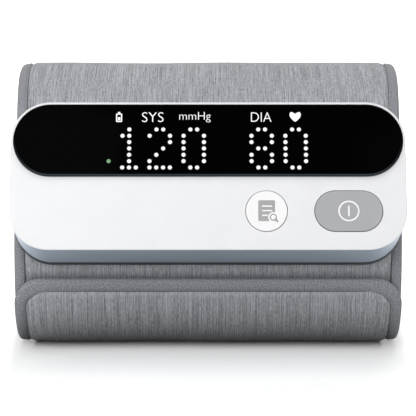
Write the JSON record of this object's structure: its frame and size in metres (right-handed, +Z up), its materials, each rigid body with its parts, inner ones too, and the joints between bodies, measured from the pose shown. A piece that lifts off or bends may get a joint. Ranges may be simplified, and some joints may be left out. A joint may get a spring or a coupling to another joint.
{
  "type": "arm-in blood pressure monitor",
  "caption": "All-in-one upper-arm blood pressure monitor: a display unit with a dot display and push buttons, fastened to a fabric cuff closed into a loop.",
  "frame": {"origin": "middle of the underside of the whole part's bounding box, on the surface it stands on", "axes": "+X along the loop's axis to the right as the display is read, +Y away from the reader, +Z up"},
  "size_m": [0.149, 0.1762, 0.1064],
  "materials": {
    "white_shell": "gloss",
    "grey_shell": "satin",
    "black_lens": "gloss",
    "grey_button": "gloss",
    "dark_plastic": "matte",
    "circuit_board": "satin",
    "white_light": "gloss",
    "green_light": "gloss",
    "metal": "satin",
    "battery_foil": "satin",
    "foam": "matte",
    "pump_plastic": "satin",
    "soft_rubber": "matte",
    "bladder_film": "satin",
    "sprung_shell": "satin",
    "melange_fabric": "matte",
    "lining_fabric": "matte",
    "binding_tape": "matte",
    "hook_tape": "matte"
  },
  "bodies": {
    "body": {"front_housing": "white_shell", "rear_housing": "grey_shell", "display_lens": "black_lens", "light_mask": "dark_plastic", "button_switches": "dark_plastic", "board_connector": "dark_plastic", "pressure_sensor": "dark_plastic", "led_board": "circuit_board", "main_board": "circuit_board", "display_leds": "white_light", "status_led": "green_light", "charging_socket": "metal", "pump_motor": "metal", "exhaust_valve": "metal", "housing_screws": "metal", "board_screws": "metal", "mounting_screws": "metal", "battery": "battery_foil", "battery_pad": "foam", "pump_cradle": "foam", "valve_pad": "foam", "pump_head": "pump_plastic", "air_manifold": "soft_rubber", "bladder_port": "soft_rubber", "port_seal": "soft_rubber", "cuff_bladder": "bladder_film", "cuff_shell": "sprung_shell", "cuff_cover": "melange_fabric", "cuff_lining": "lining_fabric", "left_edge_binding": "binding_tape", "right_edge_binding": "binding_tape", "tail_binding": "binding_tape"},
    "memory_key": {"memory_button": "white_shell", "memory_switch_stem": "dark_plastic"},
    "start_stop_key": {"start_stop_button": "grey_button", "start_stop_switch_stem": "dark_plastic"},
    "flap": {"flap_panel": "melange_fabric", "flap_binding": "binding_tape", "flap_hooks": "hook_tape"}
  },
  "joints": [
    {"name": "memory_button_press", "type": "slide", "parent": "body", "child": "memory_key", "axis": [0, 0.9135, -0.4067], "range_m": [0, 0.0004], "stiffness_N_per_m": 2000, "springref_m": -0.0003},
    {"name": "start_stop_button_press", "type": "slide", "parent": "body", "child": "start_stop_key", "axis": [0, 0.9135, -0.4067], "range_m": [0, 0.0004], "stiffness_N_per_m": 2000, "springref_m": -0.0003},
    {"name": "flap_lift", "type": "hinge", "parent": "body", "child": "flap", "pos_m": [0, -0.05245, 0.00363], "axis": [1, 0, 0], "range_deg": [0, 50]}
  ]
}
